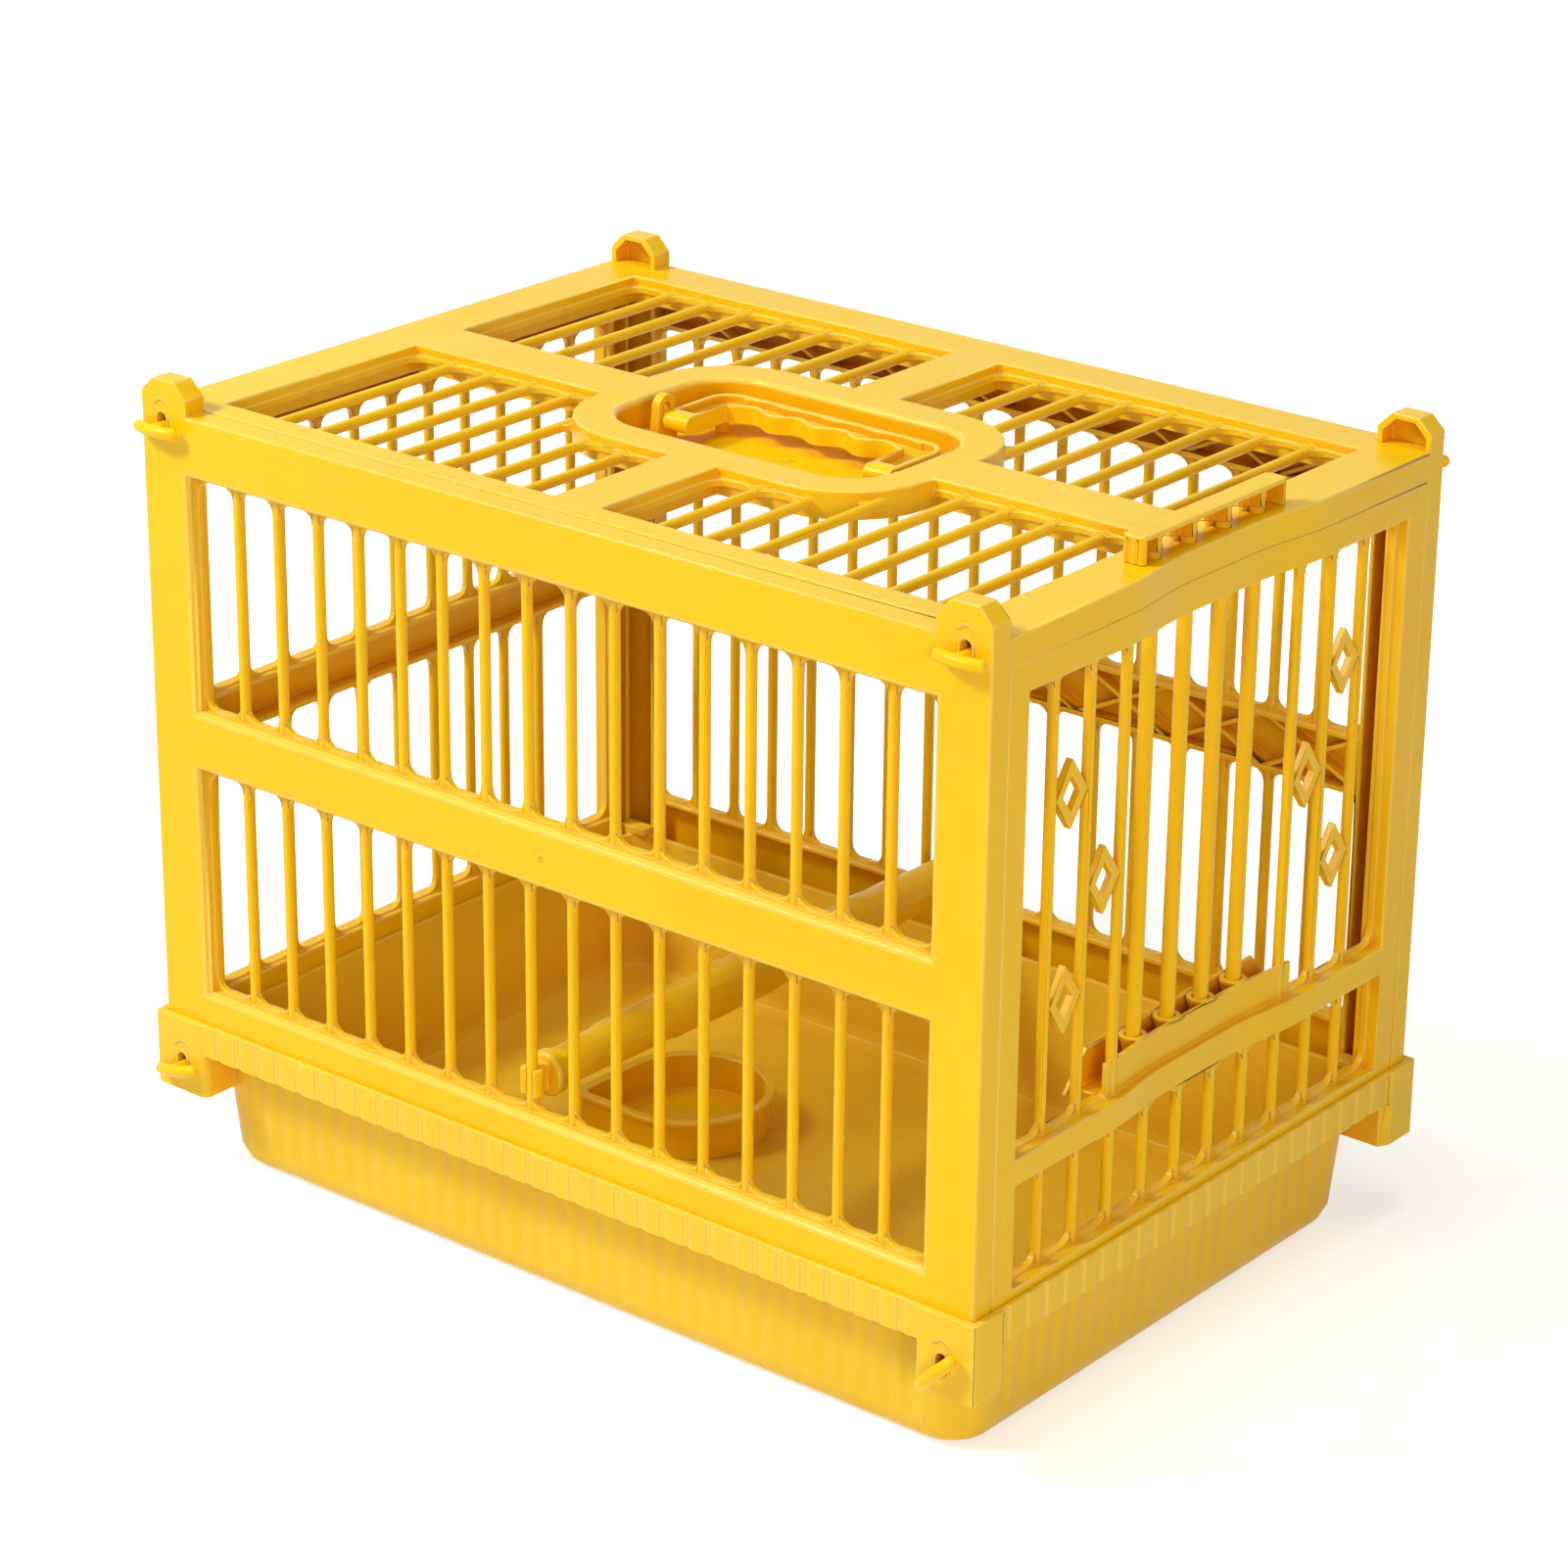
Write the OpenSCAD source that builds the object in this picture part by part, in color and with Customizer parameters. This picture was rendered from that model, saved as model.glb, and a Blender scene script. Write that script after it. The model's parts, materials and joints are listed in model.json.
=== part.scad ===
// Bird travel carrier: five grille mouldings that slot into a deep tray and are
// held by eight quarter-turn pins. A comb door lifts out of one end, and a bail
// handle folds into a well in the lid.

/* [Cage] */
// Length of the front and back panels
cage_len = 380; // [300:1:460]
// Depth over the front and back panels
cage_depth = 265; // [220:1:320]
// Height of the walls above the tray rim
wall_h = 237; // [190:1:290]
// Thickness of every wall panel
panel_t = 9.5; // [8.5:0.1:12]
// Moulded wall of every part
skin = 2.2; // [1.8:0.1:2.6]

/* [Grilles] */
// Diameter of a fixed bar
bar_d = 4; // [3.4:0.1:4.6]
// Wanted spacing of the bars
bar_pitch = 19.8; // [15:0.1:26]
// Distance of the bars behind the outer face
bar_in = 5.6; // [4.5:0.1:6.5]
// Radius of the flare at each bar end
flare_r = 6; // [2:0.1:7]
// Bevel round a window on the outer face
bevel = 1.6; // [0.5:0.1:2]

/* [Front and back panels] */
// Width of the end stiles
stile_w = 22.5; // [20:0.5:30]
// Height of the top rail
top_rail = 23; // [16:0.5:32]
// Height of the middle rail
mid_rail = 23.2; // [14:0.1:32]
// Height of the foot rail above the tray rim
foot_rail = 12.6; // [8:0.1:20]
// Width of a locking ear
ear_w = 22.4; // [20:0.1:26]
// Height of a locking ear above the panel
ear_h = 11.9; // [9:0.1:16]
// Corner cut of a locking ear
ear_cut = 5.7; // [2:0.1:7]

/* [Side panels] */
// Width of the side stiles
side_stile = 11.4; // [8:0.1:16]
// Height of the rail under the lid
side_top_rail = 11; // [9:0.5:16]
// Height of the foot rail above the tray rim
side_foot = 3.6; // [2:0.1:10]
// Height of the low window under the door sill
low_win_h = 37.6; // [25:0.1:50]
// Height of the door sill rail
sill_h = 10.6; // [8:0.1:15]
// Height of the middle rail of the plain side
side_mid_rail = 18; // [12:0.5:26]
// Depth of the inward bow at the door
bow_d = 3.5; // [1:0.1:4]
// Half length of the bow, to where it starts
bow_out = 58; // [50:1:70]
// Half length of its level middle part
bow_mid = 20; // [10:1:30]

/* [Lift door] */
// Diameter of a door rod
rod_d = 5.4; // [4.4:0.1:5.8]
// Distance of the rods behind the outer face
rod_in = 11; // [10.6:0.1:12]
// Number of rods
rods = 4; // [3:1:4]
// Length of the comb pull
pull_len = 85; // [80:1:94]
// Height of the comb pull
pull_h = 9.8; // [8:0.1:14]
// Width of the comb pull
pull_w = 9; // [8:0.1:10]
// Height of the lip in front of the rods
lip_h = 13; // [9:0.5:18]
// Half length of that lip
lip_half = 56; // [52:1:60]
// Width of a diamond between two bars
diamond_h = 25; // [18:0.5:30]

/* [Lid] */
// Thickness of the lid frame
lid_t = 10.5; // [9:0.1:14]
// Height of the lid above the panel edges
lid_proud = 0.5; // [0:0.1:1.5]
// Width of the lid frame at the door end and the far end
lid_end = 22; // [18:0.5:30]
// Width of the lid frame along the panels
lid_side = 11.3; // [9:0.1:18]
// Width of the cross bar that runs front to back
cross_y = 21.6; // [14:0.1:30]
// Width of the cross bar that runs end to end
cross_x = 25.6; // [14:0.1:32]
// Length of the handle well
well_len = 120.6; // [112:0.1:132]
// Width of the handle well
well_w = 70; // [68:0.5:78]
// Depth of the handle well
well_d = 12.5; // [11:0.1:15]
// Corner radius of the handle well
well_r = 20; // [8:0.5:24]
// Flat margin round the handle well
well_margin = 15.5; // [8:0.5:18]

/* [Carry handle] */
// Width over both arms
handle_w = 103; // [96:0.1:104]
// Distance of its middle from the middle of the well
handle_x = 6.4; // [5:0.1:6.5]
// Distance of the pivot in front of the middle of the well
pivot_y = 12.3; // [8:0.1:16]
// Reach from the pivot to the back of the grip
handle_reach = 32.6; // [28:0.1:36]
// Depth of the folded handle below the lid surface
handle_sink = 0.6; // [0.2:0.1:1.5]
// Height of the handle section
handle_t = 7; // [5.5:0.1:8]
// Width of an arm
arm_w = 11.6; // [8:0.1:13]
// Thickness of the grip at a finger groove
grip_w = 10; // [8:0.1:12]
// Depth of a finger groove
finger_d = 4; // [1:0.1:5]
// Number of finger grooves
fingers = 4; // [3:1:5]
// Diameter of a pivot stud
stud_d = 5; // [4:0.1:5.4]
// Thickness of a pivot lug
lug_t = 3.6; // [2.5:0.1:4]

/* [Tray] */
// Height of the tray rim above the ground
tray_h = 63.5; // [50:0.5:85]
// Height of the ribbed band under the rim
band_h = 13; // [10:0.5:18]
// Thickness of the rim and lock walls
lock_wall = 2.9; // [2.4:0.1:3.2]
// Height of a corner block below the rim
block_h = 30; // [28:0.5:36]
// Draw-in of the tub walls from top to bottom
tub_draft = 4.5; // [1:0.5:8]
// Corner radius of the tub
tub_r = 16; // [8:1:20]
// Radius round the bottom of the tub
tub_foot_r = 8; // [4:0.5:12]
// Depth of the flutes in the rim band
flute_d = 0.6; // [0.2:0.1:0.8]
// Spacing of the flutes in the rim band
flute_pitch = 10.4; // [8:0.1:14]

/* [Lock pins] */
// Diameter of a pin shank
pin_d = 5; // [4:0.1:5.6]
// Distance of a pin from the end of its panel
pin_inset = 10.4; // [9.8:0.1:11]
// Length of the turning bar
key_len = 21; // [16:0.5:26]
// Thickness of the turning bar
key_d = 4.6; // [3.5:0.1:5]
// Turn of the pin that stands half open
loose_turn = 45; // [0:5:60]
// Turn of the pin that stands slightly open
slack_turn = 12; // [0:1:20]

/* [Perch] */
// Height of the perch axis above the ground
perch_z = 87.5; // [84:0.5:110]
// Thickest radius of the perch
perch_r = 10.2; // [8:0.1:11]

/* [Food bowl] */
// Diameter of the bowl
bowl_d = 66; // [50:1:80]
// Height of the bowl
bowl_h = 16.5; // [12:0.5:30]
// Wall of the bowl
bowl_wall = 1.8; // [1.4:0.1:2.4]
// Bowl centre, measured from the middle of the floor
bowl_at = [-56, 14.5]; // [-60:0.5:60]

/* [Hidden] */

yellow = [0.95, 0.80, 0.22];
tray_yellow = [0.93, 0.76, 0.32];
$fn = 48;

fit = 0.2;             // gap between parts that stand side by side
run = 0.08;            // radial gap of a turning or sliding fit
bite = 1;              // how far a bar or rib runs into the wall that holds it
core = 2.4;            // bar width that the flared web keeps inside a bar
web_t = 2.6;           // thickness of the flared web
rib_t = 1.6;           // thickness of a stiffening rib

half_len = cage_len / 2;
half_dep = cage_depth / 2;
seat_z = tray_h - band_h + skin;          // where the panels stand
top_z = tray_h + wall_h;                  // top edge of the long panels
lid_top = top_z + lid_proud;
lid_z = lid_top - lid_t;                  // underside of the lid
side_half = half_dep - panel_t - fit / 2; // half length of a side panel
side_top = lid_z - fit / 2;

win_x = half_len - stile_w;               // half width of the long windows
win_h = (wall_h - top_rail - mid_rail - foot_rail) / 2;
low_z = tray_h + foot_rail;               // bottom of the lower window
up_z = low_z + win_h + mid_rail;          // bottom of the upper window
gaps_x = 2 * round(win_x / bar_pitch - 0.5) + 1;
pitch_x = 2 * win_x / gaps_x;

side_win = side_half - side_stile;        // half width of the side windows
gaps_y = 2 * round(side_win / bar_pitch - 0.5) + 1;
pitch_y = 2 * side_win / gaps_y;
side_low_z = tray_h + side_foot;
side_win_top = side_top - side_top_rail;
sill_z = side_low_z + low_win_h;          // underside of the door sill
door_z = sill_z + sill_h;                 // top of the door sill
mid_z = (low_z + up_z + win_h - side_mid_rail) / 2;

rod_x = half_len - rod_in;
rod_gap = pitch_y;
rod_foot = door_z + 2.4;
cup_d = rod_d + 4.4;

pin_x = half_len - pin_inset;
pin_top_z = lid_top - 6.6;
pin_foot_z = tray_h - 20;
key_off = 4.7;                            // how far the turning bar stands out
lug_reach = 4.2;                          // reach of the locking lug
lug_w = 3.8;                              // width of the locking lug
key_gap = 0.4;                            // gap round the lug in its notch
lug_long = 2.4;                           // length of the lug along the pin
notch_up = lug_reach - 0.6;               // height of a notch over its bore
key_bow = 24;                             // radius that the turning bar is bent to
stack = lock_wall + fit + skin;           // walls that a pin holds together

win_lid_x = half_len - lid_end;
win_lid_y = side_half - lid_side;
lid_gap = win_lid_x - cross_y / 2;
gaps_lid = round(lid_gap / bar_pitch);
pitch_lid = lid_gap / gaps_lid;
lid_bar_z = lid_top - 5;
floor_z = lid_top - well_d;
track_len = well_len + 2 * well_margin;
track_w = well_w + 2 * well_margin + 2;
track_r = well_r + well_margin;

pivot_z = lid_top - handle_sink - handle_t / 2;
lug_x = handle_w / 2 + fit;               // inner face of the lug, from the handle's middle
lug_half = 4.6;
eye_w = 4.4;                              // width of the eye above a stud
eye_up = 4.2;                             // height of its round end
lug_top = lid_top + 5.2;
wall_gap = well_len / 2 - handle_x - handle_w / 2;

rim_x = half_len + lock_wall - 0.6;
rim_y = half_dep + lock_wall - 0.6;
block_out = lock_wall + fit;              // outer face of a block past the panel
block_z = tray_h - block_h;
block_w = ear_w + block_out;
tub_x = half_len - panel_t - 0.3;
tub_y = half_dep - panel_t - 0.3;
lip_z = seat_z + 7;                       // top of the lip inside the channel
leg_z = block_z + skin + fit;

bar_y = half_dep - bar_in;
perch_x = -pitch_x / 2;
perch_half = bar_y - bar_d / 2 - 8.9;     // half length of the perch

// ---- outlines ----

// Points along an arc, in degrees
function arc(cx, cy, r, a0, a1, n = 6) =
    [for (i = [0:n]) let (a = a0 + (a1 - a0) * i / n) [cx + r * cos(a), cy + r * sin(a)]];

// Rectangle with a radius at each corner, from the lower left one round
function round_rect(x0, y0, x1, y1, r, n = 6) = concat(
    arc(x0 + r, y0 + r, r, 180, 270, n), arc(x1 - r, y0 + r, r, 270, 360, n),
    arc(x1 - r, y1 - r, r, 0, 90, n), arc(x0 + r, y1 - r, r, 90, 180, n));

function joined(lists) = [for (a = lists) for (b = a) b];

// Depth of the bow of the door side at a place along it
function bow(y) = bow_d * (abs(y) >= bow_out ? 0 : abs(y) <= bow_mid ? 1
    : 0.5 + 0.5 * cos(180 * (abs(y) - bow_mid) / (bow_out - bow_mid)));

// Line that follows the bow at a distance behind the outer face
function bow_line(in, half, share = 1) = let (n = 28)
    [for (i = [0:n]) let (y = half * (2 * i / n - 1)) [half_len - in - share * bow(y), y]];

function backwards(l) = [for (i = [len(l) - 1:-1:0]) l[i]];

// Where the flat margin of the handle well ends, for a place along the lid
function track_edge(x) = let (c = track_len / 2 - track_r, b = track_w / 2, r = track_r)
    abs(x) >= track_len / 2 ? 0 : abs(x) <= c ? b
    : b - r + sqrt(pow(r, 2) - pow(abs(x) - c, 2));

// ---- shared shapes ----

module slab(outline, z0, z1) {
    translate([0, 0, z0]) linear_extrude(height = z1 - z0) polygon(outline);
}

// Plate with one opening, both given as outlines
module ring_slab(outline, hole, z0, z1) {
    a = len(outline);
    translate([0, 0, z0]) linear_extrude(height = z1 - z0)
        polygon(points = concat(outline, hole),
                paths = [[for (i = [0:a - 1]) i], [for (i = [0:len(hole) - 1]) a + i]]);
}

module block(x0, y0, z0, x1, y1, z1) {
    translate([x0, y0, z0]) cube([x1 - x0, y1 - y0, z1 - z0]);
}

// Grille standing in the XY plane: flared web and round bars. ends gives where
// each gap starts, last leaves a bar at the far edge
module grille(w, h, gaps, starts = [], last = false) {
    pitch = w / gaps;
    foot = 0.8;
    start = function(k) len(starts) == 0 ? foot : starts[k];
    rings = [for (k = [0:gaps - 1]) round_rect(
        k == 0 ? foot : k * pitch + core / 2, start(k),
        (k == gaps - 1 && !last) ? w - foot : (k + 1) * pitch - core / 2, h - foot,
        flare_r, 4)];
    m = len(rings[0]);
    edge = last ? w + core / 2 : w + bite;
    linear_extrude(height = web_t, center = true)
        polygon(points = concat([[-bite, -bite], [edge, -bite], [edge, h + bite],
                                 [-bite, h + bite]], joined(rings)),
                paths = concat([[0, 1, 2, 3]],
                    [for (k = [0:gaps - 1]) [for (j = [0:m - 1]) 4 + k * m + j]]));
    for (k = [1:last ? gaps : gaps - 1])
        translate([k * pitch, -bite, 0]) rotate([-90, 0, 0])
            cylinder(d = bar_d, h = h + 2 * bite);
}

// Window through a front panel, with its outer edge bevelled
module window_cut(x0, z0, x1, z1) {
    deep = 1.8;
    block(x0, -half_dep - 1, z0, x1, -half_dep + panel_t + 1, z1);
    hull() {
        block(x0 - bevel, -half_dep - 0.1, z0 - bevel, x1 + bevel, -half_dep, z1 + bevel);
        block(x0, -half_dep + deep, z0, x1, -half_dep + deep + 0.1, z1);
    }
}

// Bore for a pin with the notch that lets its lug through
module keyhole(z, y0, y1) {
    notch = lug_w + 2 * key_gap;
    translate([pin_x, y0, z]) rotate([-90, 0, 0]) cylinder(d = pin_d + 2 * run, h = y1 - y0);
    block(pin_x - notch / 2, y0, z, pin_x + notch / 2, y1, z + notch_up);
    translate([pin_x, y0, z + notch_up]) rotate([-90, 0, 0])
        cylinder(d = notch, h = y1 - y0);
}

// Raised rim round a keyhole on a wall at y, and the raised crescent over it
module key_rim(z, y) {
    rim_w = 1.1;
    proud = 0.4;
    difference() {
        translate([pin_x, y + 0.3, z]) rotate([90, 0, 0]) linear_extrude(height = proud + 0.3)
            polygon(concat(arc(0, notch_up, lug_w / 2 + key_gap + rim_w, 0, 180, 12),
                           arc(0, 0, pin_d / 2 + run + rim_w, 180, 360, 12)));
        keyhole(z, y - 1, y + 1);
    }
    translate([pin_x, y + 0.3, z + 7.2]) rotate([90, 0, 0])
        linear_extrude(height = proud + 0.3)
            polygon(concat(arc(0, 0, 4, 20, 160, 10), arc(0, 0.6, 2.6, 150, 30, 10)));
}

module both_ends() {
    for (m = [0, 1]) mirror([m, 0, 0]) children();
}

// ---- long panels ----

// Zigzag of ribs that stiffens a hollow rail
module rail_ribs(z0, z1) {
    cells = 2 * round(win_x / (2 * pitch_x));
    step = 2 * (win_x + skin / 2) / cells;
    y0 = -half_dep + skin - 0.3;
    for (i = [0:cells - 1]) {
        x = -win_x - skin / 2 + i * step;
        for (a = [[z0, z1], [z1, z0]]) {
            tilt = atan2(a[1] - a[0], step);
            long = norm([step, a[1] - a[0]]);
            translate([x, y0, a[0]]) rotate([0, -tilt, 0]) translate([0, 0, -rib_t / 2])
                cube([long, panel_t - skin - 0.7, rib_t]);
        }
    }
}

module ear() {
    x0 = half_len - ear_w;
    z1 = top_z + ear_h;
    translate([0, -half_dep + panel_t, 0]) rotate([90, 0, 0])
        linear_extrude(height = panel_t)
            polygon([[x0, top_z - 1], [half_len, top_z - 1], [half_len, z1 - ear_cut],
                     [half_len - ear_cut, z1], [x0 + ear_cut, z1], [x0, z1 - ear_cut]]);
}

// Hollow behind an ear, which the tongue of the lid enters
module ear_hollow() {
    x0 = half_len - ear_w + skin;
    x1 = half_len - skin;
    z1 = top_z + ear_h - skin;
    cut = ear_cut - 0.6;
    translate([0, -half_dep + panel_t + 1, 0]) rotate([90, 0, 0])
        linear_extrude(height = panel_t + 1 - skin)
            polygon([[x0, lid_z - 3], [x1, lid_z - 3], [x1, z1 - cut], [x1 - cut, z1],
                     [x0 + cut, z1], [x0, z1 - cut]]);
}

module long_panel() {
    y_in = -half_dep + panel_t;
    leg_x0 = half_len - ear_w + skin + fit;
    difference() {
        union() {
            block(-half_len, -half_dep, seat_z, half_len, y_in, top_z);
            both_ends() {
                ear();
                block(leg_x0, -half_dep, leg_z, half_len - fit, y_in, seat_z + 1);
            }
        }
        for (z = [low_z, up_z]) window_cut(-win_x, z, win_x, z + win_h);
        // hollow rails and stiles, open to the inside
        for (r = [[seat_z, low_z], [low_z + win_h, up_z], [up_z + win_h, top_z]])
            block(-win_x, -half_dep + skin, r[0] + skin, win_x, y_in + 1, r[1] - skin);
        both_ends() {
            block(win_x + skin, -half_dep + skin, leg_z + skin,
                  half_len - skin, y_in + 1, seat_z + skin);
            block(win_x + skin, -half_dep + skin, seat_z + 2 * skin,
                  half_len - skin, y_in + 1, lid_z - 3 - skin);
            ear_hollow();
            keyhole(pin_top_z, -half_dep - 1, -half_dep + skin + 1);
            keyhole(pin_foot_z, -half_dep - 1, -half_dep + skin + 1);
        }
    }
    both_ends() key_rim(pin_top_z, -half_dep);
    rail_ribs(low_z + win_h + skin / 2, up_z - skin / 2);
    rail_ribs(up_z + win_h + skin / 2, top_z - skin / 2);
    for (z = [low_z, up_z])
        translate([-win_x, -bar_y, z]) rotate([90, 0, 0]) grille(2 * win_x, win_h, gaps_x);
}

module front_panel() {
    color(yellow) long_panel();
}

module back_panel() {
    color(yellow) rotate([0, 0, 180]) long_panel();
}

// ---- side panels ----

// Upright frame, seen on the side of +X, with its tongues into the long panels
module side_stiles() {
    for (m = [0, 1]) mirror([0, m, 0]) {
        difference() {
            block(half_len - panel_t, side_win, seat_z, half_len, side_half, side_top);
            block(half_len - panel_t - 1, side_win + skin, seat_z + skin,
                  half_len - skin, side_half - skin, side_top - skin);
        }
        block(half_len - skin - 2.4, side_half - 1, seat_z + 6,
              half_len - skin - 0.4, side_half + 5, lid_z - 9);
    }
}

module side_rail(z0, z1) {
    difference() {
        block(half_len - panel_t, -side_win - bite, z0, half_len, side_win + bite, z1);
        block(half_len - panel_t - 1, -side_win + skin, z0 + skin,
              half_len - skin, side_win - skin, z1 - skin);
    }
}

module side_grille(y0, z0, w, h, gaps, last = false) {
    translate([half_len - bar_in, y0, z0]) rotate([90, 0, 90])
        grille(w, h, gaps, [], last);
}

module left_panel() {
    color(yellow) mirror([1, 0, 0]) {
        side_stiles();
        block(half_len - panel_t, -side_win - bite, seat_z, half_len, side_win + bite,
              side_low_z);
        side_rail(mid_z, mid_z + side_mid_rail);
        side_rail(side_win_top, side_top);
        side_grille(-side_win, side_low_z, 2 * side_win, mid_z - side_low_z, gaps_y);
        side_grille(-side_win, mid_z + side_mid_rail, 2 * side_win,
                    side_win_top - mid_z - side_mid_rail, gaps_y);
    }
}

// Rail that follows the bow, hollow from the inside
module bowed_rail(z0, z1) {
    half = side_win + bite;
    difference() {
        slab(concat(bow_line(0, half), backwards(bow_line(panel_t, half))), z0, z1);
        slab(concat(bow_line(skin, side_win - skin),
                    backwards(bow_line(panel_t + 2, side_win - skin))),
             z0 + skin, z1 - skin);
    }
}

module diamond(y, z) {
    w = pitch_y - bar_d + 1.6;
    rim = 3.4;
    tall = diamond_h;
    inner = 1 - 2 * rim * norm([w, tall]) / (w * tall);
    outer = [[-w / 2, 0], [0, -tall / 2], [w / 2, 0], [0, tall / 2]];
    translate([half_len - bar_in, y, z]) rotate([90, 0, 90])
        translate([0, 0, -web_t / 2 - 0.2]) linear_extrude(height = web_t + 0.4)
            polygon(points = concat(outer, [for (p = outer) inner * p]),
                    paths = [[0, 1, 2, 3], [4, 5, 6, 7]]);
}

// Trough on the door sill: lip, inner wall and a flared cup for each rod
module sill_trough() {
    back_x = rod_x - cup_d / 2 - 1.8;
    back_top = door_z + lip_h + 0.5;
    slope = 12;
    slab(concat(bow_line(3.7, lip_half, 0.7), backwards(bow_line(5.5, lip_half, 0.7))),
         door_z - 0.5, door_z + lip_h);
    slab([[back_x, -lip_half + 1], [half_len - 6.5, -lip_half + 1],
          [half_len - 6.5, lip_half - 1], [back_x, lip_half - 1]], door_z - skin, door_z);
    translate([back_x, 0, 0]) rotate([90, 0, 90]) linear_extrude(height = 1.6)
        polygon([[-lip_half - slope / 2, door_z - 0.5], [lip_half + slope / 2, door_z - 0.5],
                 [lip_half - slope / 2, back_top], [-lip_half + slope / 2, back_top]]);
    for (i = [0:rods - 1])
        translate([rod_x, (i - (rods - 1) / 2) * rod_gap, 0])
            difference() {
                union() {
                    translate([0, 0, door_z - 0.5]) cylinder(d = cup_d - 2.4, h = lip_h - 4);
                    translate([0, 0, door_z + lip_h - 5])
                        cylinder(d1 = cup_d - 2.4, d2 = cup_d, h = 4.5);
                    translate([0, 0, door_z + lip_h - 0.6]) cylinder(d = cup_d, h = 1.1);
                }
                translate([0, 0, door_z + 1]) cylinder(d = rod_d + 0.6, h = lip_h);
            }
}

module right_panel() {
    pillars = (gaps_y - rods - 1) / 2;
    color(yellow) {
        side_stiles();
        block(half_len - panel_t, -side_win - bite, seat_z, half_len, side_win + bite,
              side_low_z);
        bowed_rail(sill_z, door_z);
        difference() {
            union() {
                bowed_rail(side_win_top, side_top);
                for (i = [0:rods - 1])
                    translate([rod_x, (i - (rods - 1) / 2) * rod_gap, side_win_top])
                        cylinder(d = rod_d + 4.6, h = side_top - side_win_top);
            }
            for (i = [0:rods - 1])
                translate([rod_x, (i - (rods - 1) / 2) * rod_gap, side_win_top - 1])
                    cylinder(d = rod_d + 2 * run, h = side_top - side_win_top + 2);
        }
        side_grille(-side_win, side_low_z, 2 * side_win, low_win_h, gaps_y);
        for (m = [0, 1]) mirror([0, m, 0])
            side_grille(-side_win, door_z, pillars * pitch_y, side_win_top - door_z,
                        pillars, true);
        for (s = [-1, 1]) {
            zc = (door_z + side_win_top) / 2;
            for (t = [-1, 1]) diamond(s * (side_win - 1.5 * pitch_y), zc + t * 1.47 * diamond_h);
            diamond(s * (side_win - 2.5 * pitch_y), zc);
        }
        sill_trough();
    }
}

// ---- lift door ----

module lift_door() {
    z0 = lid_top + fit;
    z1 = z0 + pull_h;
    plate = 1.7;
    back_x = rod_x - pull_w / 2;
    back = 1.8;
    half = pull_len / 2;
    arch_w = rod_gap - rod_d - 3;
    arch_h = 0.45 * pull_h;
    rib = 2.6;
    color(yellow) {
        difference() {
            slab(round_rect(back_x, -half, rod_x + pull_w / 2, half, 2.2), z0, z1);
            // open towards the door face
            block(back_x + back, -half + 2.4, z0 - 1, rod_x + pull_w, half - 2.4, z1 - plate);
            // arches in the back wall, between the rods
            for (i = [-(rods - 2) / 2:(rods - 2) / 2])
                translate([back_x - 1, i * rod_gap, z0]) rotate([90, 0, 90])
                    linear_extrude(height = back + 2)
                        polygon([for (a = [0:15:180]) [arch_w / 2 * cos(a),
                                 arch_h * sin(a) - 0.01]]);
            // grip flutes in both end walls
            for (s = [-1, 1], dx = [-1.4, 1.4])
                translate([rod_x + dx, s * (half + 0.35), z0 - 1]) cylinder(d = 1.6, h = pull_h - 0.6);
        }
        // rods, each carried on by a thin rib inside the pull
        for (i = [0:rods - 1]) translate([0, (i - (rods - 1) / 2) * rod_gap, 0]) {
            translate([rod_x, 0, rod_foot]) cylinder(d = rod_d, h = z0 + 1.6 - rod_foot);
            block(back_x + back / 2, -rib / 2, z0 + 1, rod_x + rod_d / 2 - 0.1, rib / 2,
                  z1 - plate / 2);
        }
    }
}

// ---- lid ----

function lid_outline(in) = concat(
    [[-half_len + in, -side_half + in], [half_len - in, -side_half + in]],
    bow_line(in, bow_out), [[half_len - in, side_half - in], [-half_len + in, side_half - in]]);

// The four windows, grown by a margin, each cut back round the handle well
module lid_windows(grow, z0, z1) {
    for (mx = [0, 1], my = [0, 1]) mirror([mx, 0, 0]) mirror([0, my, 0])
        difference() {
            block(cross_y / 2 - grow, cross_x / 2 - grow, z0,
                  win_lid_x + grow, win_lid_y + grow, z1);
            slab(round_rect(-track_len / 2 + grow, -track_w / 2 + grow, track_len / 2 - grow,
                            track_w / 2 - grow, track_r - grow), z0 - 1, z1 + 1);
        }
}

module well_outline(grow, z0, z1) {
    slab(round_rect(-well_len / 2 - grow, -well_w / 2 - grow, well_len / 2 + grow,
                    well_w / 2 + grow, well_r + grow), z0, z1);
}

// Where each gap of a lid grille starts, clear of the handle well
function lid_starts() = [for (k = [0:gaps_lid - 1])
    max(track_edge(cross_y / 2 + (k + 1) * pitch_lid - 3) - cross_x / 2 + 0.8, 0.8)];

module lid_grilles() {
    intersection() {
        for (mx = [0, 1], my = [0, 1]) mirror([mx, 0, 0]) mirror([0, my, 0])
            translate([cross_y / 2, cross_x / 2, lid_bar_z])
                grille(lid_gap, win_lid_y - cross_x / 2, gaps_lid, lid_starts());
        lid_windows(bite, lid_z, lid_top);
    }
}

// Tongue that enters the ear of a long panel and takes its pin
module lid_tongue() {
    x0 = half_len - ear_w + skin + fit;
    x1 = half_len - skin - fit;
    y0 = -half_dep + skin + fit;
    z0 = lid_z + 0.5;
    difference() {
        block(x0, y0, z0, x1, -side_half + bite, lid_top - 0.5);
        block(x0 + 1.8, y0 + lock_wall, z0 - 1, max(x1 - 1.8, pin_x + lug_reach + fit),
              -side_half + 0.3, lid_top - 2);
        keyhole(pin_top_z, y0 - 1, y0 + lock_wall + 1);
    }
}

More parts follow.
